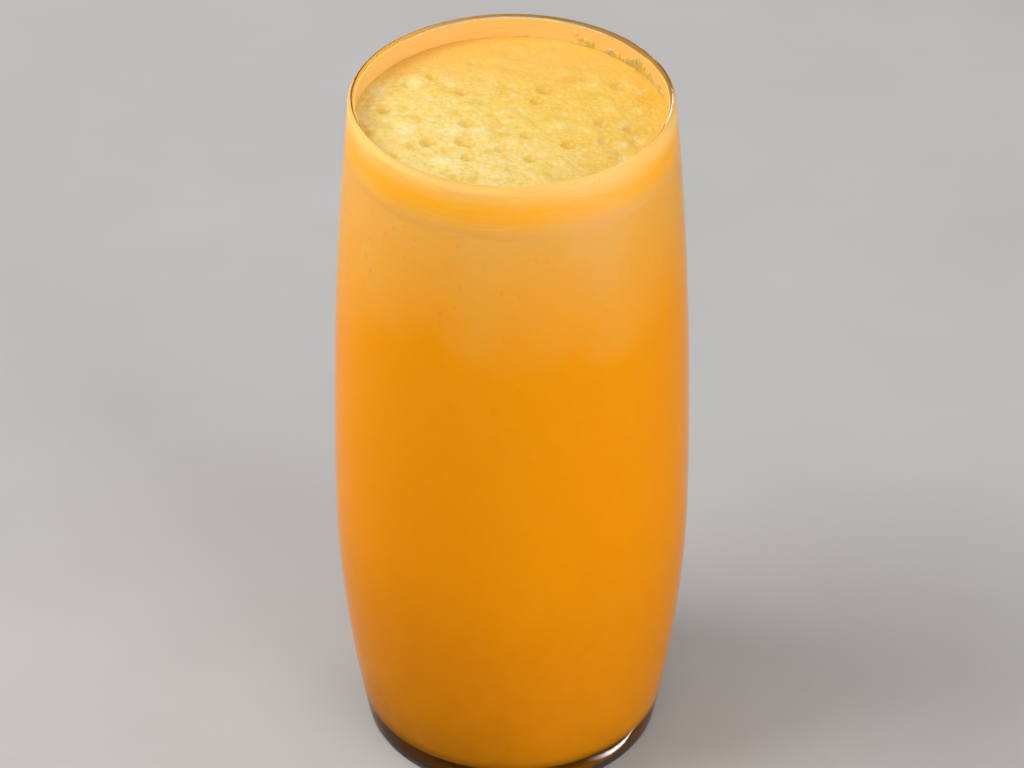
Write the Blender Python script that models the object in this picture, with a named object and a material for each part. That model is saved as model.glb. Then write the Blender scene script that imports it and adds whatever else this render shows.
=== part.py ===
"""A tall barrel-shaped tumbler filled with orange juice that carries a head of froth.

Metres, +Z up. The origin is the centre of the foot, on the surface that the tumbler stands on.
"""

import math
import random

import bmesh
import bpy

MM = 0.001

# Outside of the tumbler
HEIGHT = 150 * MM
BELLY_RADIUS = 35.8 * MM
BELLY_HEIGHT = 55 * MM
RIM_RADIUS = 31.5 * MM
FOOT_RADIUS = 29.8 * MM  # where the wall's curve would reach the table, were the heel not rounded
UPPER_CURVE = 2.2  # power of the sweep from belly to rim
LOWER_CURVE = 1.8  # power of the sweep from belly to foot
HEEL_RADIUS = 3 * MM

# Underside
FOOT_RING_INNER = 21 * MM
PUNT_DEPTH = 0.6 * MM
PUNT_RADIUS = 17 * MM

# Wall and floor of the bowl
RIM_WALL = 1.4 * MM
FLOOR_WALL = 2.4 * MM  # wall thickness that the taper reaches at table height
WALL_TAPER = 1.6
FLOOR_HEIGHT = 3 * MM
BOWL_CORNER_HEIGHT = 7 * MM
BOWL_SQUARENESS = 3  # power of the superellipse that rounds the bowl's floor into its wall

# Contents
GAP = 0.3 * MM
FROTH_LEVEL = 144.9 * MM
FROTH_DEPTH = 6 * MM
MENISCUS_RISE = 0.35 * MM
MENISCUS_WIDTH = 2.5 * MM

# Large open bubbles that stand out in the froth, as (x, y, radius) in mm
OPEN_BUBBLES = (
    (-24.8, 4.0, 1.5), (-23.2, -12.6, 1.3), (-16.1, -7.5, 1.7), (-9.6, 10.3, 1.4), (-8.8, -0.9, 1.5),
    (-9.7, -7.5, 1.3), (-8.2, -8.1, 1.3), (-8.4, -12.8, 1.4), (6.3, 11.3, 1.7), (4.8, 7.0, 1.3),
    (10.7, -8.5, 1.5), (17.3, -0.9, 1.6), (17.8, -6.8, 1.4), (22.6, -2.9, 1.5), (3.5, -13.4, 1.3),
    (-2.3, -10.1, 1.2), (2.9, -5.2, 1.3), (-15.5, 16.0, 1.2), (20.5, 12.5, 1.4), (-20.4, 13.1, 1.2),
)
PIT_DEPTH = 0.5  # of an open bubble's radius

# Low swells over the bubbles that lie deeper
SWELL_SEED = 11
SWELL_COUNT = 48
SWELL_RADII = (1.8 * MM, 3.4 * MM)
SWELL_HEIGHT = 0.16  # of a swell's radius
SWELL_MARGIN = 1.2 * MM  # clear ring between the swells and the wall
BUBBLE_SPACING = 0.8  # least distance between two bubbles, as a share of their radii added up

# Fineness of the faceted solids
SEGMENTS = 64
UPPER_STEPS = 6
LOWER_STEPS = 4
HEEL_STEPS = 5
RIM_STEPS = 4
CORNER_STEPS = 7
FROTH_RINGS = 30


def outer_radius(height):
    """Radius of the outside: two parabola-like sweeps that share their widest point, the belly."""
    if height > BELLY_HEIGHT:
        share = (height - BELLY_HEIGHT) / (HEIGHT - BELLY_HEIGHT)
        return BELLY_RADIUS - (BELLY_RADIUS - RIM_RADIUS) * share**UPPER_CURVE
    share = (BELLY_HEIGHT - height) / BELLY_HEIGHT
    return BELLY_RADIUS - (BELLY_RADIUS - FOOT_RADIUS) * share**LOWER_CURVE


def wall_thickness(height):
    """Thickness of the wall, thinnest at the rim and fuller towards the floor."""
    return RIM_WALL + (FLOOR_WALL - RIM_WALL) * (1 - height / HEIGHT) ** WALL_TAPER


def inner_radius(height):
    return outer_radius(height) - wall_thickness(height)


def outer_slope(height):
    """How fast the outside widens with height."""
    step = 0.1 * MM
    return (outer_radius(height + step) - outer_radius(height)) / step


def spaced(low, high, steps):
    """steps + 1 evenly spaced values from low to high."""
    return [low + (high - low) * i / steps for i in range(steps + 1)]


def bowl_corner():
    """The bowl's floor from its centre out to the wall: (radius, height) along a superellipse."""
    points = []
    for angle in spaced(0, math.pi / 2, CORNER_STEPS):
        rise = 1 - math.cos(angle) ** (2 / BOWL_SQUARENESS)
        height = FLOOR_HEIGHT + BOWL_CORNER_HEIGHT * rise
        reach = math.sin(angle) ** (2 / BOWL_SQUARENESS)
        points.append((inner_radius(height) * reach, height))
    return points


def bowl_wall(top):
    """The bowl's wall from the end of its rounded floor up to the height top."""
    heights = spaced(FLOOR_HEIGHT + BOWL_CORNER_HEIGHT, top, UPPER_STEPS + 1)
    return [(inner_radius(height), height) for height in heights[1:]]


def rim_bead(foot_of_bead):
    """The rounded lip, from the inside over the top to the outside."""
    middle = (inner_radius(foot_of_bead) + outer_radius(foot_of_bead)) / 2
    half_wall = wall_thickness(foot_of_bead) / 2
    points = []
    for angle in spaced(math.pi, 0, RIM_STEPS)[1:-1]:
        radius = middle + half_wall * math.cos(angle)
        points.append((radius, foot_of_bead + half_wall * math.sin(angle)))
    return points


def heel():
    """The rounded heel, from the foot of the wall in to the flat ring that stands on the table."""
    height = HEEL_RADIUS
    for _ in range(8):  # settles where the arc and the sloping wall share a tangent
        tilt = math.atan(outer_slope(height))
        height = HEEL_RADIUS * (1 - math.sin(tilt))
    centre = outer_radius(height) - HEEL_RADIUS * math.cos(tilt)
    points = []
    for angle in spaced(-tilt, -math.pi / 2, HEEL_STEPS):
        radius = centre + HEEL_RADIUS * math.cos(angle)
        points.append((radius, HEEL_RADIUS * (1 + math.sin(angle))))
    return points


def turned(name, profile):
    """A solid of revolution from (radius, height) points that end down the outside."""
    mesh = bpy.data.meshes.new(name)
    corners = [(radius, 0, height) for radius, height in profile]
    edges = [(i, i + 1) for i in range(len(corners) - 1)]
    mesh.from_pydata(corners, edges, [])
    body = bpy.data.objects.new(name, mesh)
    bpy.context.scene.collection.objects.link(body)
    screw = body.modifiers.new("turn", "SCREW")
    screw.axis = "Z"
    screw.steps = SEGMENTS
    screw.render_steps = SEGMENTS
    screw.use_merge_vertices = True
    screw.merge_threshold = 0.00001
    screw.use_smooth_shade = True
    return body


def make_tumbler():
    """Clear glass: a thin floor with a shallow punt below, a rounded heel and a fine lip."""
    foot_of_bead = HEIGHT - RIM_WALL / 2
    inside = bowl_corner() + bowl_wall(foot_of_bead)
    upper = spaced(foot_of_bead, BELLY_HEIGHT, UPPER_STEPS)
    lower = spaced(BELLY_HEIGHT, heel()[0][1], LOWER_STEPS)
    outside = [(outer_radius(height), height) for height in upper + lower[1:-1]]
    underside = [(FOOT_RING_INNER, 0), (PUNT_RADIUS, PUNT_DEPTH), (0, PUNT_DEPTH)]
    return turned("tumbler", inside + rim_bead(foot_of_bead) + outside + heel() + underside)


def inset(profile, distance):
    """The profile moved into the bowl by distance, square to itself. Its first point is on the axis."""
    moved = []
    for i, (radius, height) in enumerate(profile):
        before = profile[max(i - 1, 0)]
        after = profile[min(i + 1, len(profile) - 1)]
        run = after[0] - before[0]
        rise = after[1] - before[1]
        length = math.hypot(run, rise)
        shift = 0 if i == 0 else distance * rise / length
        lift = distance if i == 0 else distance * run / length
        moved.append((radius - shift, height + lift))
    return moved


def make_juice():
    """The juice below the froth, a hair clear of the bowl."""
    top = FROTH_LEVEL - FROTH_DEPTH - GAP
    side = inset(bowl_corner() + bowl_wall(top), GAP)
    side[-1] = (inner_radius(top) - GAP, top)
    return turned("juice", [(0, top)] + side[::-1])


def open_bubbles():
    """The open bubbles as (x, y, radius, height at the middle), pits below the froth's level."""
    return [(x * MM, y * MM, radius * MM, -PIT_DEPTH * radius * MM) for x, y, radius in OPEN_BUBBLES]


def with_swells(bubbles, reach):
    """The bubbles and, clear of them, seeded swells that rise above the froth's level."""
    draw = random.Random(SWELL_SEED)
    found = list(bubbles)
    while len(found) < len(bubbles) + SWELL_COUNT:
        radius = draw.uniform(*SWELL_RADII)
        away = (reach - SWELL_MARGIN - radius) * math.sqrt(draw.random())
        turn = 2 * math.pi * draw.random()
        x = away * math.cos(turn)
        y = away * math.sin(turn)
        if all(math.dist((x, y), b[:2]) > BUBBLE_SPACING * (radius + b[2]) for b in found):
            found.append((x, y, radius, SWELL_HEIGHT * radius))
    return found


def froth_relief(x, y, reach, bubbles):
    """Height of the froth above its level: the climb at the wall, the open bubbles and the swells."""
    to_wall = max(reach - math.hypot(x, y), 0)
    height = MENISCUS_RISE * math.exp(-((to_wall / MENISCUS_WIDTH) ** 2))
    for bubble_x, bubble_y, radius, rise in bubbles:
        share = math.dist((x, y), (bubble_x, bubble_y)) / radius
        if share < 1:
            height += rise * (1 - share**2)
    return height


def hex_disc(mesh, radius, rings):
    """A flat disc of even triangles: ring k has 6k corners. Returns its rings of corners."""
    found = [[mesh.verts.new((0, 0, 0))]]
    for k in range(1, rings + 1):
        away = radius * k / rings
        turns = [2 * math.pi * i / (6 * k) for i in range(6 * k)]
        found.append([mesh.verts.new((away * math.cos(t), away * math.sin(t), 0)) for t in turns])
    for k in range(1, rings + 1):
        inner = found[k - 1]
        outer = found[k]
        for sector in range(6):
            for i in range(k):
                here = outer[sector * k + i]
                ahead = outer[(sector * k + i + 1) % (6 * k)]
                below = inner[(sector * (k - 1) + i) % len(inner)]
                mesh.faces.new((here, ahead, below))
                if i < k - 1:
                    below_ahead = inner[(sector * (k - 1) + i + 1) % len(inner)]
                    mesh.faces.new((ahead, below_ahead, below))
    return found


def make_froth():
    """The head of froth: a disc with bubbled relief on top, a hair clear of the wall and the juice."""
    reach = inner_radius(FROTH_LEVEL) - GAP
    bottom = FROTH_LEVEL - FROTH_DEPTH
    bubbles = with_swells(open_bubbles(), reach)
    mesh = bmesh.new()
    rings = hex_disc(mesh, reach, FROTH_RINGS)
    for corner in [corner for ring in rings for corner in ring]:
        corner.co.z = FROTH_DEPTH + froth_relief(corner.co.x, corner.co.y, reach, bubbles)
    edge = rings[-1]
    widening = (inner_radius(bottom) - GAP) / reach
    foot = [mesh.verts.new((c.co.x * widening, c.co.y * widening, 0)) for c in edge]
    for i, corner in enumerate(edge):
        after = (i + 1) % len(edge)
        mesh.faces.new((corner, foot[i], foot[after], edge[after]))
    mesh.faces.new(foot[::-1])
    data = bpy.data.meshes.new("froth")
    mesh.to_mesh(data)
    mesh.free()
    data.shade_smooth()
    data.set_sharp_from_angle(angle=math.radians(50))
    body = bpy.data.objects.new("froth", data)
    bpy.context.scene.collection.objects.link(body)
    body.location.z = bottom
    return body


def finish(body, colour, roughness, transmission=0.0):
    """Gives the object its own Principled material."""
    material = bpy.data.materials.new(body.name)
    material.use_nodes = True
    shader = material.node_tree.nodes["Principled BSDF"]
    shader.inputs["Base Color"].default_value = (*colour, 1)
    shader.inputs["Roughness"].default_value = roughness
    shader.inputs["Metallic"].default_value = 0
    shader.inputs["Transmission Weight"].default_value = transmission
    shader.inputs["IOR"].default_value = 1.5
    body.data.materials.append(material)


def main():
    for old in list(bpy.data.objects):
        bpy.data.objects.remove(old, do_unlink=True)
    stand = bpy.data.objects.new("glass_of_juice", None)
    bpy.context.scene.collection.objects.link(stand)
    tumbler = make_tumbler()
    juice = make_juice()
    froth = make_froth()
    finish(tumbler, (0.95, 0.97, 0.97), 0.03, transmission=1.0)
    finish(juice, (0.82, 0.30, 0.01), 0.3)
    finish(froth, (0.95, 0.62, 0.16), 0.55)
    for body in (tumbler, juice, froth):
        body.parent = stand


main()
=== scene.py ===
import math
import random

import bmesh
import bpy
import numpy as np
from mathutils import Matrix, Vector


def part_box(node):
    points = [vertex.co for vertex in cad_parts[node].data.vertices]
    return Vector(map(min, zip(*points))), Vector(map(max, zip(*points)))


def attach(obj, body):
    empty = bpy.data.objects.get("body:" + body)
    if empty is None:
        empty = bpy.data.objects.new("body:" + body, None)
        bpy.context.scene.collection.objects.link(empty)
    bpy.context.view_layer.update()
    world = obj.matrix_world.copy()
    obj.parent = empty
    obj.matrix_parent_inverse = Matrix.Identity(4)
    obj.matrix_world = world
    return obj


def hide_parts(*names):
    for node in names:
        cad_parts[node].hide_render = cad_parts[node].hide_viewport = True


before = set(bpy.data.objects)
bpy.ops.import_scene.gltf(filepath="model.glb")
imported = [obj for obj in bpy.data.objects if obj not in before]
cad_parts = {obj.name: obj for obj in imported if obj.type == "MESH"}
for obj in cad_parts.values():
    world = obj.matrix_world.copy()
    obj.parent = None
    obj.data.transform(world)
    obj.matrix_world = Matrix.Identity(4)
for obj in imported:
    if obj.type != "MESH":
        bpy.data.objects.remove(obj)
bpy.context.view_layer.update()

MM = 0.001

# The tumbler's turned profile, with the same driving sizes as the solid
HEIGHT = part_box("tumbler")[1][2]
BELLY_RADIUS = 35.8 * MM
BELLY_HEIGHT = 55 * MM
RIM_RADIUS = 31.5 * MM
FOOT_RADIUS = 29.8 * MM
UPPER_CURVE = 2.2
LOWER_CURVE = 1.8
HEEL_RADIUS = 3 * MM
FOOT_RING_INNER = 21 * MM
PUNT_DEPTH = 0.6 * MM
PUNT_RADIUS = 17 * MM
RIM_WALL = 1.4 * MM
FLOOR_WALL = 2.4 * MM
WALL_TAPER = 1.6
FLOOR_HEIGHT = 3 * MM
BOWL_CORNER_HEIGHT = 7 * MM
BOWL_SQUARENESS = 3

# Contents
FROTH_LEVEL = 144.9 * MM
FROTH_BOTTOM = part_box("froth")[0][2]
FROTH_SINK = 0.1 * MM  # how far the finer froth and the bubble skins lie below that level
INTO_WALL = 0.15 * MM  # how far the contents reach into the glass, so that no air shows between
CAD_GAP = 0.3 * MM  # between the solids, used to draw the swells where the solid has them
MENISCUS_RISE = 0.35 * MM
MENISCUS_WIDTH = 2.5 * MM

# Large open bubbles that stand out in the froth, as (x, y, radius) in mm
OPEN_BUBBLES = (
    (-24.8, 4.0, 1.5), (-23.2, -12.6, 1.3), (-16.1, -7.5, 1.7), (-9.6, 10.3, 1.4), (-8.8, -0.9, 1.5),
    (-9.7, -7.5, 1.3), (-8.2, -8.1, 1.3), (-8.4, -12.8, 1.4), (6.3, 11.3, 1.7), (4.8, 7.0, 1.3),
    (10.7, -8.5, 1.5), (17.3, -0.9, 1.6), (17.8, -6.8, 1.4), (22.6, -2.9, 1.5), (3.5, -13.4, 1.3),
    (-2.3, -10.1, 1.2), (2.9, -5.2, 1.3), (-15.5, 16.0, 1.2), (20.5, 12.5, 1.4), (-20.4, 13.1, 1.2),
)
PIT_DEPTH = 0.5  # of an open bubble's radius
BUBBLE_EDGE = 1.15  # of a large bubble's radius, where it levels out into the froth
PIT_STRENGTHS = (0.4, 0.9)  # range of how strongly an open bubble's colour shows
SKIN_REACH = 1.05  # of an open bubble's radius, as is the height
SKIN_HEIGHT = 0.38

# Low swells over the bubbles that lie deeper
SWELL_SEED = 11
SWELL_COUNT = 48
SWELL_RADII = (1.8 * MM, 3.4 * MM)
SWELL_HEIGHT = 0.16  # of a swell's radius
SWELL_MARGIN = 1.2 * MM
BUBBLE_SPACING = 0.8

# Fine bubbles packed over the froth, as (radius in mm, how many), largest first
FINE_SEED = 5
FINE_BUBBLES = ((1.05, 60), (0.8, 220), (0.6, 700), (0.42, 1700), (0.3, 1600))
FINE_SPACING = 0.86  # least distance between two, as a share of their radii added up
FINE_TRIES = 14  # places tried for each before it is left out
CAP_HEIGHT = 0.19  # of a fine bubble's radius
CLEAR_SHARE = 0.3  # of the fine bubbles have a thin, clear top
BACK_CALM = 0.55  # share of the fine bubbles' height that is lost at the back
EDGE_CALM = (1.2 * MM, 0.3 * MM)  # distances from the wall between which the rest is lost

# Soft spots over the froth, pale ones as painted highlights and olive ones, radii in mm
SPOT_SEED = 8
SPOT_COUNT = 120
SPOT_RADII = (0.5, 1.2)

# Small bubbles on the wall above the froth
WALL_BUBBLE_SEED = 4
WALL_BUBBLE_COUNT = 70
WALL_BUBBLE_BULGE = 0.24  # of its radius
WALL_BUBBLE_RADII = (0.4, 0.9)  # in mm
WALL_BUBBLE_TURN = (34, 14)  # middle and spread round the wall, in degrees
WALL_BUBBLE_RISE = (1.2, 2.8)  # spread and limit above the froth, in mm

# Middles of the painted highlights, the palest clusters in the froth, as (x, y) in mm
PAINTED_GLINT_SPOTS = ((-19.0, 13.4), (-26.0, 11.0), (-11.5, -3.3), (-6.1, -3.9), (-20.0, -3.0), (-13.0, -14.5))
PAINTED_GLINT_RADIUS = 1.8
ORANGE_SPOTS = ((11.0, 14.5), (26.5, 8.0))
ORANGE_SPOT_RADIUS = 2.2

# Film of froth on the wall, from the foot of the froth to the lip
FILM_SEED = 3
FILM_TOP = 149.45 * MM
FILM_WAVES = (2, 3, 5, 9, 14, 23, 37)  # waves round the wall in its upper edge
FILM_WAVE_SIZE = 0.2 * MM
FILM_THICKNESS = 0.16 * MM
FILM_INTO_WALL = (0.12 * MM, 0.3 * MM)  # at its foot, where the froth covers it, and above
FILM_GROWTH = 2 * MM  # height over which it goes from the one to the other
FILM_FOOT = 1 * MM  # below the froth, so that it rises out of the juice without a seam
LIP_MARGIN = 0.25 * MM

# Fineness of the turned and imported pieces
SEGMENTS = 384
FROTH_RINGS = 156
FROTH_SIDE_STEPS = 8
FILM_STEPS = 28
FILM_SEGMENTS = 768

GLASS_IOR = 1.5
GLASS_CALM = 1.8  # power that calms the glass's reflections short of total ones

# Juice colours by height: darker at the foot, which is painted shade, and milky under the froth, partly
# its own colour and partly painted reflection
JUICE_SHADED_COLOURS = (
    (0.0, (0.60, 0.225, 0.0)),
    (0.12, (0.78, 0.31, 0.0)),
    (0.45, (0.90, 0.38, 0.0)),
    (0.77, (0.90, 0.40, 0.002)),
    (0.86, (0.88, 0.455, 0.045)),
    (1.0, (0.86, 0.51, 0.11)),
)
JUICE_TOP = np.array((0.86, 0.49, 0.095))
FROTH_SIDE = np.array((0.98, 0.51, 0.02))

# Froth colours
CREAM = np.array((0.99, 0.74, 0.30))
YELLOW = np.array((0.99, 0.61, 0.11))
PEACH = np.array((0.98, 0.55, 0.13))
OLIVE = np.array((0.88, 0.59, 0.06))
DEEP_OLIVE = np.array((0.82, 0.52, 0.03))
ORANGE = np.array((0.97, 0.42, 0.02))
# Tint multiplied into the crevices between the fine bubbles: painted shade
CREVICE_SHADE_TINT = np.array((1.0, 0.97, 0.72))
FILM_BACK = np.array((0.99, 0.62, 0.19))
FILM_FRONT = np.array((0.99, 0.64, 0.18))
# Pale colour of the painted highlights on the froth
HIGHLIGHT = np.array((1.0, 0.87, 0.46))

# Colours of the marks in a material and of the clear ones, with alpha
JUICE_MOTTLE = (0.95, 0.40, 0.02, 1)
PULP = (0.72, 0.22, 0.002, 1)
FROTH_GRAIN = (1.0, 0.68, 0.17, 1)
FILM_PALE = (1.0, 0.72, 0.34, 1)
FILM_DEEP = (0.97, 0.50, 0.09, 1)
GLASS_SHADOW = (0.95, 0.95, 0.95, 1)
SKIN_TINT = (1.0, 0.99, 0.95, 1)
FLOOR_DARK = (0.52, 0.515, 0.505, 1)
FLOOR_PALE = (0.55, 0.545, 0.535, 1)

# Camera, from the fit of the glass's outline
CAMERA_DISTANCE = 0.9
CAMERA_ELEVATION = math.radians(35.84)
CAMERA_AIM_HEIGHT = 82.45 * MM
CAMERA_LENS = 158.0
CAMERA_SENSOR = 36

# Stage
FLOOR_REACH = 4.0
WORLD_STRENGTH = 0.5
LIGHT_BOUNCES = 24  # fewer leave a black line where light is trapped in the wall
LAMP_TARGET = (0, 0, 0.08)
LAMPS = (  # name, place, size, power
    ("key", (-0.85, -0.1, 1.1), (0.8, 0.8), 10.6),
    ("front", (1.05, -1.15, 0.7), (1.0, 0.7), 10.0),
)
LIGHT_CARDS = (  # name, turn in degrees, distance, height, size, strength
    ("right_card", 55, 0.22, 0.085, (0.5, 0.18), 9.0),
    ("left_card", -112, 0.20, 0.085, (0.24, 0.12), 4.0),
    ("foot_card", 49, 0.0325, 0.0015, (0.02, 0.004), 60.0),
)


def outer_radius(height):
    if height > BELLY_HEIGHT:
        share = (height - BELLY_HEIGHT) / (HEIGHT - BELLY_HEIGHT)
        return BELLY_RADIUS - (BELLY_RADIUS - RIM_RADIUS) * share**UPPER_CURVE
    share = (BELLY_HEIGHT - height) / BELLY_HEIGHT
    return BELLY_RADIUS - (BELLY_RADIUS - FOOT_RADIUS) * share**LOWER_CURVE


def wall_thickness(height):
    return RIM_WALL + (FLOOR_WALL - RIM_WALL) * (1 - height / HEIGHT) ** WALL_TAPER


def inner_radius(height):
    return outer_radius(height) - wall_thickness(height)


def spaced(low, high, steps):
    return [low + (high - low) * i / steps for i in range(steps + 1)]


def bowl_corner(steps=40):
    points = []
    for angle in spaced(0, math.pi / 2, steps):
        rise = 1 - math.cos(angle) ** (2 / BOWL_SQUARENESS)
        height = FLOOR_HEIGHT + BOWL_CORNER_HEIGHT * rise
        reach = math.sin(angle) ** (2 / BOWL_SQUARENESS)
        points.append((inner_radius(height) * reach, height))
    return points


def bowl_wall(top, steps=40):
    heights = spaced(FLOOR_HEIGHT + BOWL_CORNER_HEIGHT, top, steps)
    return [(inner_radius(height), height) for height in heights[1:]]


def rim_bead(foot_of_bead, steps=24):
    middle = (inner_radius(foot_of_bead) + outer_radius(foot_of_bead)) / 2
    half_wall = wall_thickness(foot_of_bead) / 2
    points = []
    for angle in spaced(math.pi, 0, steps)[1:-1]:
        radius = middle + half_wall * math.cos(angle)
        points.append((radius, foot_of_bead + half_wall * math.sin(angle)))
    return points


def heel(steps=14):
    height = HEEL_RADIUS
    step = 0.1 * MM
    for _ in range(8):  # settles where the arc and the sloping wall share a tangent
        tilt = math.atan((outer_radius(height + step) - outer_radius(height)) / step)
        height = HEEL_RADIUS * (1 - math.sin(tilt))
    centre = outer_radius(height) - HEEL_RADIUS * math.cos(tilt)
    points = []
    for angle in spaced(-tilt, -math.pi / 2, steps):
        radius = centre + HEEL_RADIUS * math.cos(angle)
        points.append((radius, HEEL_RADIUS * (1 + math.sin(angle))))
    return points


def underside(steps=12):
    points = []
    for share in spaced(0, 1, steps):
        radius = FOOT_RING_INNER + (PUNT_RADIUS - FOOT_RING_INNER) * share
        points.append((radius, PUNT_DEPTH * (1 - math.cos(math.pi * share)) / 2))
    return points + [(0, PUNT_DEPTH)]


def mesh_object(name, points, faces, material):
    mesh = bpy.data.meshes.new(name)
    mesh.from_pydata(points, [], faces)
    mesh.update()
    mesh.shade_smooth()
    mesh.set_sharp_from_angle(angle=math.radians(70))
    mesh.materials.append(material)
    body = bpy.data.objects.new(name, mesh)
    bpy.context.scene.collection.objects.link(body)
    return body


def add_piece(body, node):
    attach(body, "root")
    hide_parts(node)


def give_tones(body, colours):
    """Stores a colour for each point, which the froth's material reads."""
    tone = body.data.color_attributes.new("tone", "FLOAT_COLOR", "POINT")
    tone.data.foreach_set("color", np.column_stack((colours, np.ones(len(colours)))).ravel())


def turned(name, profile, material):
    points = []
    rings = []
    for radius, height in profile:
        count = SEGMENTS if radius > 0 else 1
        rings.append(range(len(points), len(points) + count))
        turns = [2 * math.pi * i / count for i in range(count)]
        points += [(radius * math.cos(t), radius * math.sin(t), height) for t in turns]
    faces = []
    for upper, lower in zip(rings, rings[1:]):
        for i in range(SEGMENTS):
            after = (i + 1) % SEGMENTS
            corners = [upper[i % len(upper)], lower[i % len(lower)]]
            corners += [lower[after % len(lower)], upper[after % len(upper)]]
            faces.append(list(dict.fromkeys(corners)))
    return mesh_object(name, points, faces, material)


class Nodes:
    """A material's node tree, with short calls to add and join nodes."""

    def __init__(self, name):
        self.material = bpy.data.materials.new(name)
        self.material.use_nodes = True
        self.tree = self.material.node_tree
        self.shader = self.tree.nodes["Principled BSDF"]
        self.output = self.tree.nodes["Material Output"]
        self.place = self.add("ShaderNodeTexCoord").outputs["Object"]

    def add(self, kind, **settings):
        node = self.tree.nodes.new(kind)
        for name, value in settings.items():
            setattr(node, name, value)
        return node

    def join(self, source, target):
        self.tree.links.new(source, target)

    def fill(self, node, **values):
        for name, value in values.items():
            node.inputs[name.replace("_", " ")].default_value = value

    def stretched(self, scale):
        """The object's coordinates in millimetres times scale, one number for each axis."""
        mapping = self.add("ShaderNodeMapping")
        mapping.inputs["Scale"].default_value = [axis / MM for axis in scale]
        self.join(self.place, mapping.inputs["Vector"])
        return mapping.outputs["Vector"]

    def noise(self, scale, detail=3.0, roughness=0.55):
        """Noise from 0 to 1 with about one feature in each millimetre over scale."""
        node = self.add("ShaderNodeTexNoise")
        self.fill(node, Scale=1.0, Detail=detail, Roughness=roughness)
        self.join(self.stretched(scale), node.inputs["Vector"])
        return node.outputs["Fac"]

    def ranged(self, value, low, high, to_low, to_high):
        node = self.add("ShaderNodeMapRange")
        self.join(value, node.inputs["Value"])
        self.fill(node, From_Min=low, From_Max=high, To_Min=to_low, To_Max=to_high)
        return node.outputs["Result"]

    def ramp(self, value, stops):
        node = self.add("ShaderNodeValToRGB")
        self.join(value, node.inputs["Fac"])
        ramp = node.color_ramp
        while len(ramp.elements) < len(stops):
            ramp.elements.new(0.5)
        for element, (place, colour) in zip(ramp.elements, stops):
            element.position = place
            element.color = (*colour, 1)
        return node.outputs["Color"]

    def mixed(self, share, first, second):
        """Two colours mixed by share; each of the three may be a socket or a value."""
        node = self.add("ShaderNodeMix", data_type="RGBA")
        factor, first_colour, second_colour = node.inputs[0], node.inputs[6], node.inputs[7]
        for value, socket in ((share, factor), (first, first_colour), (second, second_colour)):
            if isinstance(value, bpy.types.NodeSocket):
                self.join(value, socket)
            else:
                socket.default_value = value
        return node.outputs[2]

    def mixed_shader(self, share, first, second):
        node = self.add("ShaderNodeMixShader")
        self.join(share, node.inputs["Fac"])
        self.join(first.outputs[0], node.inputs[1])
        self.join(second.outputs[0], node.inputs[2])
        return node

    def bumped(self, height, distance):
        """The surface's normal, tilted as if height from 0 to 1 raised it by distance."""
        node = self.add("ShaderNodeBump")
        self.fill(node, Strength=1.0, Distance=distance)
        self.join(height, node.inputs["Height"])
        return node.outputs["Normal"]


def glass_material():
    """Clear glass that lets lamp light through, with faint smears and a very slight waviness."""
    nodes = Nodes("clear_glass")
    smears = nodes.noise((0.06, 0.06, 0.035), detail=4.0)
    roughness = nodes.ranged(smears, 0.45, 0.75, 0.0, 0.03)
    wave = nodes.bumped(nodes.noise((0.05, 0.05, 0.02), detail=1.0), 0.1 * MM)
    bend = nodes.add("ShaderNodeBsdfRefraction")
    nodes.fill(bend, IOR=GLASS_IOR)
    gloss = nodes.add("ShaderNodeBsdfAnisotropic")
    nodes.fill(gloss, Color=(1, 1, 1, 1))
    for shader in (bend, gloss):
        nodes.join(roughness, shader.inputs["Roughness"])
        nodes.join(wave, shader.inputs["Normal"])
    edge = nodes.add("ShaderNodeFresnel")
    nodes.fill(edge, IOR=GLASS_IOR)
    shine = nodes.add("ShaderNodeMath", operation="POWER")
    nodes.join(edge.outputs["Fac"], shine.inputs[0])
    shine.inputs[1].default_value = GLASS_CALM
    body = nodes.mixed_shader(shine.outputs["Value"], bend, gloss)
    path = nodes.add("ShaderNodeLightPath")
    clear = nodes.add("ShaderNodeBsdfTransparent")
    nodes.fill(clear, Color=GLASS_SHADOW)
    lit = nodes.mixed_shader(path.outputs["Is Shadow Ray"], body, clear)
    nodes.join(lit.outputs[0], nodes.output.inputs["Surface"])
    return nodes.material


def juice_material():
    """Opaque juice with fine pulp; darker towards the foot as painted shade, and paler and milkier
    towards the froth, partly as painted reflection.
    """
    nodes = Nodes("orange_juice")
    axes = nodes.add("ShaderNodeSeparateXYZ")
    nodes.join(nodes.place, axes.inputs["Vector"])
    swirl = nodes.noise((0.05, 0.05, 0.03), detail=2.0)
    share = nodes.ranged(axes.outputs["Z"], FLOOR_HEIGHT, FROTH_BOTTOM, 0.0, 1.0)
    drift = nodes.add("ShaderNodeMath", operation="ADD")
    nodes.join(share, drift.inputs[0])
    nodes.join(nodes.ranged(swirl, 0.3, 0.7, -0.05, 0.05), drift.inputs[1])
    # Darker towards the foot as painted shade; paler and milkier at the top, partly painted reflection
    colour = nodes.ramp(drift.outputs["Value"], JUICE_SHADED_COLOURS)
    mottle = nodes.ranged(nodes.noise((0.35, 0.35, 0.3), detail=5.0), 0.35, 0.65, 0.0, 0.22)
    colour = nodes.mixed(mottle, colour, JUICE_MOTTLE)
    pulp = nodes.ranged(nodes.noise((1.3, 1.3, 0.9), detail=2.0), 0.62, 0.75, 0.0, 0.35)
    colour = nodes.mixed(pulp, colour, PULP)
    nodes.join(colour, nodes.shader.inputs["Base Color"])
    nodes.fill(nodes.shader, Roughness=0.5, Specular_IOR_Level=0.0)
    return nodes.material


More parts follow.
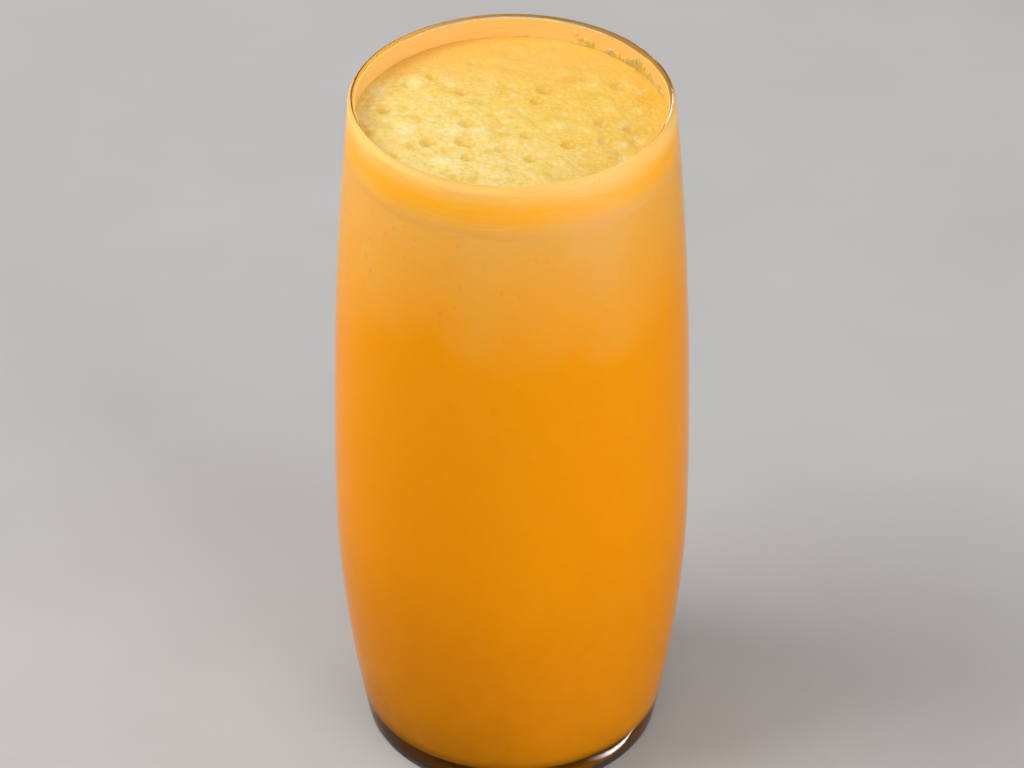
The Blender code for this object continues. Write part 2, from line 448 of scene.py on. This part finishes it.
def froth_material():
    """Moist froth: each point's colour, painted shade and painted highlights included, is worked out
    with its shape, with a fine grain over it.
    """
    nodes = Nodes("juice_froth")
    tone = nodes.add("ShaderNodeVertexColor", layer_name="tone")
    grain = nodes.ranged(nodes.noise((1.6, 1.6, 1.6), detail=4.0), 0.3, 0.7, 0.0, 0.3)
    colour = nodes.mixed(grain, tone.outputs["Color"], FROTH_GRAIN)
    nodes.join(colour, nodes.shader.inputs["Base Color"])
    nodes.fill(nodes.shader, Roughness=0.32, Subsurface_Weight=0.5, Subsurface_Scale=1.0)
    nodes.fill(nodes.shader, Subsurface_Radius=(1.2 * MM, 0.7 * MM, 0.25 * MM))
    normal = nodes.bumped(nodes.noise((5.0, 5.0, 5.0), detail=2.0), 0.06 * MM)
    nodes.join(normal, nodes.shader.inputs["Normal"])
    return nodes.material


def film_material():
    """Thin froth left on the glass, in streaks drawn out round the wall."""
    nodes = Nodes("froth_film")
    tone = nodes.add("ShaderNodeVertexColor", layer_name="tone")
    streaks = nodes.noise((0.12, 0.12, 1.4), detail=4.0)
    pale = nodes.ranged(streaks, 0.5, 0.75, 0.0, 0.2)
    deep = nodes.ranged(streaks, 0.32, 0.46, 0.35, 0.0)
    colour = nodes.mixed(pale, tone.outputs["Color"], FILM_PALE)
    colour = nodes.mixed(deep, colour, FILM_DEEP)
    nodes.join(colour, nodes.shader.inputs["Base Color"])
    nodes.fill(nodes.shader, Roughness=0.45, Specular_IOR_Level=0.1)
    nodes.join(nodes.bumped(streaks, 0.03 * MM), nodes.shader.inputs["Normal"])
    return nodes.material


def bubble_material():
    """The thin wet skin of a large bubble: clear, with a gloss that grows towards its edge."""
    nodes = Nodes("bubble_skin")
    clear = nodes.add("ShaderNodeBsdfTransparent")
    nodes.fill(clear, Color=SKIN_TINT)
    gloss = nodes.add("ShaderNodeBsdfAnisotropic")
    nodes.fill(gloss, Roughness=0.08)
    edge = nodes.add("ShaderNodeLayerWeight")
    nodes.fill(edge, Blend=0.25)
    share = nodes.ranged(edge.outputs["Fresnel"], 0.0, 1.0, 0.03, 0.2)
    skin = nodes.mixed_shader(share, clear, gloss)
    nodes.join(skin.outputs[0], nodes.output.inputs["Surface"])
    return nodes.material


def floor_material():
    """Pale and matt, with soft drifts between two tones."""
    nodes = Nodes("pale_floor")
    tone = nodes.ranged(nodes.noise((0.02, 0.02, 0.02)), 0.3, 0.7, 0.0, 1.0)
    colour = nodes.mixed(tone, FLOOR_DARK, FLOOR_PALE)
    nodes.join(colour, nodes.shader.inputs["Base Color"])
    nodes.fill(nodes.shader, Roughness=0.8, Specular_IOR_Level=0.0)
    return nodes.material


def make_tumbler():
    foot_of_bead = HEIGHT - RIM_WALL / 2
    inside = bowl_corner() + bowl_wall(foot_of_bead)
    outside_heights = spaced(foot_of_bead, heel()[0][1], 60)
    outside = [(outer_radius(height), height) for height in outside_heights[:-1]]
    profile = inside + rim_bead(foot_of_bead) + outside + heel() + underside()
    add_piece(turned("tumbler_glass", profile, glass_material()), "tumbler")


def make_juice():
    side = []
    for radius, height in bowl_corner() + bowl_wall(FROTH_BOTTOM):
        side.append((radius + INTO_WALL if radius > 0 else 0, height))
    side[0] = (0, FLOOR_HEIGHT - INTO_WALL)
    body = turned("juice_body", [(0, FROTH_BOTTOM)] + side[::-1], juice_material())
    add_piece(body, "juice")


def open_bubbles():
    """The open bubbles as (x, y, radius, height at the middle), pits below the froth's level."""
    return [(x * MM, y * MM, radius * MM, -PIT_DEPTH * radius * MM) for x, y, radius in OPEN_BUBBLES]


def with_swells(bubbles, reach):
    """The bubbles and, clear of them, seeded swells that rise above the froth's level."""
    draw = random.Random(SWELL_SEED)
    found = list(bubbles)
    while len(found) < len(bubbles) + SWELL_COUNT:
        radius = draw.uniform(*SWELL_RADII)
        away = (reach - SWELL_MARGIN - radius) * math.sqrt(draw.random())
        turn = 2 * math.pi * draw.random()
        x = away * math.cos(turn)
        y = away * math.sin(turn)
        if all(math.dist((x, y), b[:2]) > BUBBLE_SPACING * (radius + b[2]) for b in found):
            found.append((x, y, radius, SWELL_HEIGHT * radius))
    return found


def packed_bubbles(reach):
    """Fine bubbles as rows of (x, y, radius), placed at random, largest first, with little overlap."""
    draw = np.random.default_rng(FINE_SEED)
    found = np.array([(x * MM, y * MM, radius * MM) for x, y, radius in OPEN_BUBBLES])
    for radius_mm, count in FINE_BUBBLES:
        for _ in range(count):
            radius = radius_mm * MM * draw.uniform(0.8, 1.2)
            for _ in range(FINE_TRIES):
                away = (reach - 0.4 * radius) * math.sqrt(draw.random())
                turn = 2 * math.pi * draw.random()
                place = np.array((away * math.cos(turn), away * math.sin(turn)))
                gaps = np.hypot(*(found[:, :2] - place).T) - FINE_SPACING * (found[:, 2] + radius)
                if gaps.min() > 0:
                    found = np.vstack((found, (*place, radius)))
                    break
    return found[len(OPEN_BUBBLES):]


def hex_disc(rings):
    """The corners of a unit disc of even triangles, with 6k corners in ring k, and the triangles."""
    corners = [(0.0, 0.0)]
    starts = [0]
    for k in range(1, rings + 1):
        starts.append(len(corners))
        turns = [math.pi * i / (3 * k) for i in range(6 * k)]
        corners += [(k / rings * math.cos(t), k / rings * math.sin(t)) for t in turns]
    triangles = []
    for k in range(1, rings + 1):
        inner_count = max(6 * (k - 1), 1)
        for sector in range(6):
            for i in range(k):
                here = starts[k] + sector * k + i
                ahead = starts[k] + (sector * k + i + 1) % (6 * k)
                below = starts[k - 1] + (sector * (k - 1) + i) % inner_count
                triangles.append((here, ahead, below))
                if i < k - 1:
                    below_ahead = starts[k - 1] + (sector * (k - 1) + i + 1) % inner_count
                    triangles.append((ahead, below_ahead, below))
    return np.array(corners), triangles


def smooth(value, low, high):
    share = np.clip((value - low) / (high - low), 0, 1)
    return share * share * (3 - 2 * share)


def relief(place, reach, bubbles):
    """Height of the froth above its level at each place, without the fine bubbles."""
    to_wall = reach - np.hypot(*place.T)
    height = MENISCUS_RISE * np.exp(-((to_wall / MENISCUS_WIDTH) ** 2))
    for x, y, radius, rise in bubbles:
        share = np.hypot(place[:, 0] - x, place[:, 1] - y) / radius
        height += rise * (1 - smooth(share, 0.0, BUBBLE_EDGE))
    return height


def fine_caps(place, fine, draw):
    """Height of the fine bubbles' caps, how clear each one's top is, and each one's own shade."""
    cap = np.zeros(len(place))
    clear = np.zeros(len(place))
    shade = np.full(len(place), 0.5)
    for x, y, radius in fine:
        is_clear = draw.random() < CLEAR_SHARE
        own_shade = draw.random()
        near = np.flatnonzero(np.abs(place[:, 0] - x) < radius)
        near = near[np.abs(place[near, 1] - y) < radius]
        share = np.hypot(place[near, 0] - x, place[near, 1] - y) / radius
        inside = np.sqrt(np.clip(1 - share**2, 0, None))
        over = CAP_HEIGHT * radius * inside > cap[near]
        chosen = near[over]
        cap[chosen] = CAP_HEIGHT * radius * inside[over]
        clear[chosen] = is_clear * smooth(inside[over], 0.3, 0.8)
        shade[chosen] = own_shade
    return cap, clear, shade


def blended(first, second, share):
    return first + (second - first) * share[:, None]


def spot(place, centre, radius):
    """1 at the centre, falling softly to 0 with distance; lengths in millimetres."""
    return np.exp(-(np.hypot(place[:, 0] / MM - centre[0], place[:, 1] / MM - centre[1]) / radius) ** 2)


def spotted(colour, place, reach, tint, strength, draw):
    """Soft spots of a tint, fewer and fainter towards the back."""
    for _ in range(SPOT_COUNT):
        away = reach * math.sqrt(draw.random()) / MM
        turn = 2 * math.pi * draw.random()
        centre = (away * math.cos(turn), away * math.sin(turn))
        back = smooth(centre[1] * MM / reach, 0.1, 0.8)
        share = draw.uniform(0.3, 1) * strength * (1 - 0.8 * back)
        colour = blended(colour, tint, share * spot(place, centre, draw.uniform(*SPOT_RADII)))
    return colour


def froth_colours(place, reach, cap, clear, shade, pits):
    """Cream at the front left, paler there partly as painted light from the left, yellow at the right,
    peach at the back, darker in clear bubbles; with painted shade in the crevices and painted
    highlights.
    """
    across = place[:, 0] / reach
    back = place[:, 1] / reach
    # Paler cream towards the front left is partly painted light from the left
    colour = blended(CREAM, YELLOW, smooth(0.8 * across + 0.6 * back + 0.5 * (shade - 0.5), -0.55, 0.45))
    colour = blended(colour, PEACH, smooth(back + 0.25 * (shade - 0.5), 0.25, 0.8))
    # Painted shade: the crevices between the fine bubbles are darkened
    crevice_shade = 1 - smooth(cap, 0.03 * MM, 0.12 * MM)
    colour = blended(colour, colour * CREVICE_SHADE_TINT, crevice_shade)
    # Painted highlights on the palest fine bubbles, kept to the front left where the lamp light falls
    painted_highlight = 0.35 * smooth(shade, 0.82, 0.95) * (1 - clear) * (1 - crevice_shade)
    colour = blended(colour, HIGHLIGHT, painted_highlight * (1 - smooth(0.7 * across + back, -0.2, 0.5)))
    colour = blended(colour, OLIVE, clear * (0.35 + 0.6 * shade) * (1 - 0.6 * smooth(back, 0.2, 0.7)))
    colour = blended(colour, DEEP_OLIVE, pits)
    draw = random.Random(SPOT_SEED)
    # The pale spots are painted highlights; the olive spots below are the froth's own colour
    colour = spotted(colour, place, reach, HIGHLIGHT, 0.55, draw)
    colour = spotted(colour, place, reach, DEEP_OLIVE, 0.85, draw)
    # Painted highlights where the froth glints
    for centre in PAINTED_GLINT_SPOTS:
        colour = blended(colour, HIGHLIGHT, 0.8 * spot(place, centre, PAINTED_GLINT_RADIUS))
    for centre in ORANGE_SPOTS:
        colour = blended(colour, ORANGE, 0.7 * spot(place, centre, ORANGE_SPOT_RADIUS))
    return colour


def unit_ball():
    """Corners and triangles of a ball with radius 1."""
    ball = bmesh.new()
    bmesh.ops.create_icosphere(ball, subdivisions=2, radius=1)
    corners = np.array([vert.co for vert in ball.verts])
    triangles = [[vert.index for vert in face.verts] for face in ball.faces]
    ball.free()
    return corners, triangles


def add_wall_bubbles(points, faces, colours):
    """Adds small bubbles that cling to the wall over the froth, most of them at the right back."""
    draw = random.Random(WALL_BUBBLE_SEED)
    ball, triangles = unit_ball()
    spread, limit = WALL_BUBBLE_RISE
    for i in range(WALL_BUBBLE_COUNT):
        degrees = draw.uniform(0, 360) if i % 9 == 0 else draw.gauss(*WALL_BUBBLE_TURN)
        turn = math.radians(degrees)
        radius = draw.uniform(*WALL_BUBBLE_RADII) * MM
        height = FROTH_LEVEL + min(abs(draw.gauss(0, spread)), limit) * MM
        outward = np.array((math.cos(turn), math.sin(turn), 0))
        centre = (inner_radius(height) - FILM_THICKNESS) * outward + np.array((0, 0, height))
        flat = ball - (1 - WALL_BUBBLE_BULGE) * np.outer(ball @ outward, outward)
        first = len(points)
        points += [tuple(centre + radius * corner) for corner in flat]
        faces += [[first + corner for corner in triangle] for triangle in triangles]
        tint = CREAM if i % 3 else PEACH
        colours += [tuple(YELLOW + (tint - YELLOW) * draw.uniform(0, 0.6))] * len(ball)


def pit_strengths(place, bubbles):
    """How strongly an open bubble's colour shows at each place, each with its own strength."""
    draw = random.Random(FINE_SEED)
    pits = np.zeros(len(place))
    for x, y, radius, _ in bubbles:
        share = np.hypot(place[:, 0] - x, place[:, 1] - y) / radius
        pits = np.maximum(pits, draw.uniform(*PIT_STRENGTHS) * (1 - smooth(share, 0.3, BUBBLE_EDGE)))
    return pits


def calmness(place, reach):
    """Share of the fine bubbles' height that is left: less at the back, none at the wall."""
    calm = 1 - BACK_CALM * smooth(place[:, 1] / reach, 0.3, 0.75)
    return calm * (1 - smooth(np.hypot(*place.T), reach - EDGE_CALM[0], reach - EDGE_CALM[1]))


def add_froth_side(points, faces, colours):
    """Closes the froth at its side and bottom; the last ring of the points is the top's edge."""
    count = 6 * FROTH_RINGS
    turns = [2 * math.pi * i / count for i in range(count)]
    edge = list(range(len(points) - count, len(points)))
    for step in range(1, FROTH_SIDE_STEPS + 1):
        share = step / FROTH_SIDE_STEPS
        level = FROTH_LEVEL + (FROTH_BOTTOM - FROTH_LEVEL) * share
        radius = inner_radius(level) + INTO_WALL
        points += [(radius * math.cos(t), radius * math.sin(t), level) for t in turns]
        colours += [tuple(FROTH_SIDE + (JUICE_TOP - FROTH_SIDE) * share**2)] * count
        below = list(range(len(points) - count, len(points)))
        for i in range(count):
            after = (i + 1) % count
            faces.append((edge[i], below[i], below[after], edge[after]))
        edge = below
    points.append((0, 0, FROTH_BOTTOM))
    colours.append(tuple(JUICE_TOP))
    faces += [(len(points) - 1, edge[(i + 1) % count], edge[i]) for i in range(count)]


def make_froth():
    reach = inner_radius(FROTH_LEVEL) + INTO_WALL
    corners, faces = hex_disc(FROTH_RINGS)
    place = corners * reach
    open_ones = open_bubbles()
    bubbles = with_swells(open_ones, inner_radius(FROTH_LEVEL) - CAD_GAP)
    pits = pit_strengths(place, open_ones)
    cap, clear, shade = fine_caps(place, packed_bubbles(reach), np.random.default_rng(FINE_SEED + 1))
    fine_height = cap * (1 - pits) * calmness(place, reach)
    height = FROTH_LEVEL + relief(place, reach, bubbles) + fine_height - FROTH_SINK
    points = [tuple(point) for point in np.column_stack((place, height))]
    colours = [tuple(colour) for colour in froth_colours(place, reach, cap, clear, shade, pits)]
    add_froth_side(points, faces, colours)
    add_wall_bubbles(points, faces, colours)
    body = mesh_object("froth_head", points, faces, froth_material())
    give_tones(body, colours)
    add_piece(body, "froth")


def lip_radius(height):
    """Radius of the bowl's inner face, round the lip too."""
    half_wall = RIM_WALL / 2
    over = max(height - (HEIGHT - half_wall), 0)
    return inner_radius(height) + half_wall - math.sqrt(half_wall**2 - over**2)


def film_edge(turn, waves):
    """Height of the film's uneven upper edge at an angle round the wall."""
    return FILM_TOP + sum(size * math.sin(count * turn + start) for count, size, start in waves)


def film_heights(low, high):
    """Heights up the film, closer together towards the lip."""
    return [high - (high - low) * (1 - share) ** 2 for share in spaced(0, 1, FILM_STEPS)]


def side_colour(height):
    """Colour through the glass: juice at the froth's foot, then deep orange, then paler at the lip."""
    colour = JUICE_TOP + (FROTH_SIDE - JUICE_TOP) * smooth(height, FROTH_BOTTOM, FROTH_LEVEL - 1 * MM)
    return colour + (FILM_FRONT - colour) * smooth(height, FROTH_LEVEL - 1 * MM, FROTH_LEVEL + 4 * MM)


def film_waves():
    """The waves in the film's upper edge, as (number round the wall, size, start)."""
    draw = random.Random(FILM_SEED)
    waves = []
    for count in FILM_WAVES:
        size = FILM_WAVE_SIZE / math.sqrt(count) * draw.uniform(0.3, 1)
        waves.append((count, size, draw.uniform(0, 2 * math.pi)))
    return waves


def film_section(low, high):
    """The film's outline at one angle, up its face and down in the wall, as (radius, height, colour)."""
    heights = film_heights(low, high)
    section = []
    for height in heights:
        thickness = FILM_THICKNESS * math.sqrt(1 - 0.9 * (height - low) / (high - low))
        section.append((lip_radius(height) - thickness, height, FILM_BACK))
    for height in reversed(heights):
        more = (FILM_INTO_WALL[1] - FILM_INTO_WALL[0]) * smooth(height, low, low + FILM_GROWTH)
        section.append((lip_radius(height) + FILM_INTO_WALL[0] + more, height, side_colour(height)))
    return section


def make_film():
    waves = film_waves()
    points = []
    colours = []
    for i in range(FILM_SEGMENTS):
        turn = 2 * math.pi * i / FILM_SEGMENTS
        high = min(film_edge(turn, waves), HEIGHT - LIP_MARGIN)
        for radius, height, colour in film_section(FROTH_BOTTOM - FILM_FOOT, high):
            points.append((radius * math.cos(turn), radius * math.sin(turn), height))
            colours.append(colour)
    ring = 2 * (FILM_STEPS + 1)
    faces = []
    for i in range(FILM_SEGMENTS):
        here = i * ring
        ahead = (i + 1) % FILM_SEGMENTS * ring
        for k in range(ring):
            k_after = (k + 1) % ring
            faces.append((here + k, here + k_after, ahead + k_after, ahead + k))
    body = mesh_object("froth_film", points, faces, film_material())
    give_tones(body, colours)
    add_piece(body, "froth")


def dome(centre, radius, height, base, rings=8, sectors=28):
    """A spherical cap on a level base: its points and faces, as lists that start from base."""
    points = [(centre[0], centre[1], centre[2] + height)]
    for k in range(1, rings + 1):
        lean = 0.5 * math.pi * k / rings
        out = radius * math.sin(lean)
        level = centre[2] + height * math.cos(lean)
        for i in range(sectors):
            turn = 2 * math.pi * i / sectors
            points.append((centre[0] + out * math.cos(turn), centre[1] + out * math.sin(turn), level))
    faces = []
    for i in range(sectors):
        after = (i + 1) % sectors
        faces.append((base, base + 1 + i, base + 1 + after))
        for k in range(1, rings):
            high = base + 1 + (k - 1) * sectors
            low = high + sectors
            faces.append((high + i, low + i, low + after, high + after))
    return points, faces


def make_bubble_skins():
    """The thin domes that close the large bubbles."""
    points = []
    faces = []
    for x, y, radius in OPEN_BUBBLES:
        centre = (x * MM, y * MM, FROTH_LEVEL - FROTH_SINK)
        reach = radius * SKIN_REACH * MM
        more_points, more_faces = dome(centre, reach, SKIN_HEIGHT * radius * MM, len(points))
        points += more_points
        faces += more_faces
    add_piece(mesh_object("bubble_skins", points, faces, bubble_material()), "froth")


def aim(thing, place, target):
    thing.location = place
    thing.rotation_euler = (Vector(target) - Vector(place)).to_track_quat("-Z", "Y").to_euler()


def make_camera():
    data = bpy.data.cameras.new("camera")
    data.lens = CAMERA_LENS
    data.sensor_width = CAMERA_SENSOR
    camera = bpy.data.objects.new("camera", data)
    bpy.context.scene.collection.objects.link(camera)
    back = CAMERA_DISTANCE * math.cos(CAMERA_ELEVATION)
    up = CAMERA_DISTANCE * math.sin(CAMERA_ELEVATION)
    aim(camera, (0, -back, CAMERA_AIM_HEIGHT + up), (0, 0, CAMERA_AIM_HEIGHT))
    bpy.context.scene.camera = camera


def softbox(name, place, size, power):
    data = bpy.data.lights.new(name, "AREA")
    data.shape = "RECTANGLE"
    data.size = size[0]
    data.size_y = size[1]
    data.energy = power
    light = bpy.data.objects.new(name, data)
    bpy.context.scene.collection.objects.link(light)
    light.visible_camera = False
    aim(light, place, LAMP_TARGET)


def glow_material(name, strength):
    """Light that fades from the middle of a card to nothing at its edges."""
    nodes = Nodes(name)
    fade = nodes.add("ShaderNodeTexGradient", gradient_type="QUADRATIC_SPHERE")
    nodes.join(nodes.place, fade.inputs["Vector"])
    glow = nodes.add("ShaderNodeEmission")
    nodes.join(nodes.ranged(fade.outputs["Fac"], 0.0, 0.7, 0.0, strength), glow.inputs["Strength"])
    both = nodes.add("ShaderNodeAddShader")
    nodes.join(glow.outputs["Emission"], both.inputs[0])
    nodes.join(nodes.add("ShaderNodeBsdfTransparent").outputs["BSDF"], both.inputs[1])
    nodes.join(both.outputs["Shader"], nodes.output.inputs["Surface"])
    return nodes.material


def light_card(name, turn, distance, height, size, strength):
    """A soft card seen only as a reflection in the glass, turn degrees right of the camera's side."""
    corners = [(-1, -1, 0), (1, -1, 0), (1, 1, 0), (-1, 1, 0)]
    card = mesh_object(name, corners, [(0, 1, 2, 3)], glow_material(name, strength))
    card.scale = (size[0] / 2, size[1] / 2, 1)
    side = math.radians(turn)
    aim(card, (distance * math.sin(side), -distance * math.cos(side), height), (0, 0, height))
    card.visible_camera = False
    card.visible_diffuse = False
    card.visible_transmission = False
    card.visible_shadow = False


def make_stage():
    reach = FLOOR_REACH
    corners = [(-reach, -reach, 0), (reach, -reach, 0), (reach, reach, 0), (-reach, reach, 0)]
    floor = mesh_object("floor", corners, [(0, 1, 2, 3)], floor_material())
    world = bpy.data.worlds.new("studio")
    bpy.context.scene.world = world
    world.use_nodes = True
    background = world.node_tree.nodes["Background"]
    background.inputs["Color"].default_value = (1, 1, 1, 1)
    background.inputs["Strength"].default_value = WORLD_STRENGTH
    for lamp in LAMPS:
        softbox(*lamp)
    for card in LIGHT_CARDS:
        light_card(*card)
    cycles = bpy.context.scene.cycles
    cycles.max_bounces = LIGHT_BOUNCES
    cycles.transmission_bounces = LIGHT_BOUNCES
    cycles.glossy_bounces = LIGHT_BOUNCES
    bpy.context.scene.view_settings.view_transform = "Standard"


make_camera()
make_stage()
make_tumbler()
make_juice()
make_froth()
make_film()
make_bubble_skins()
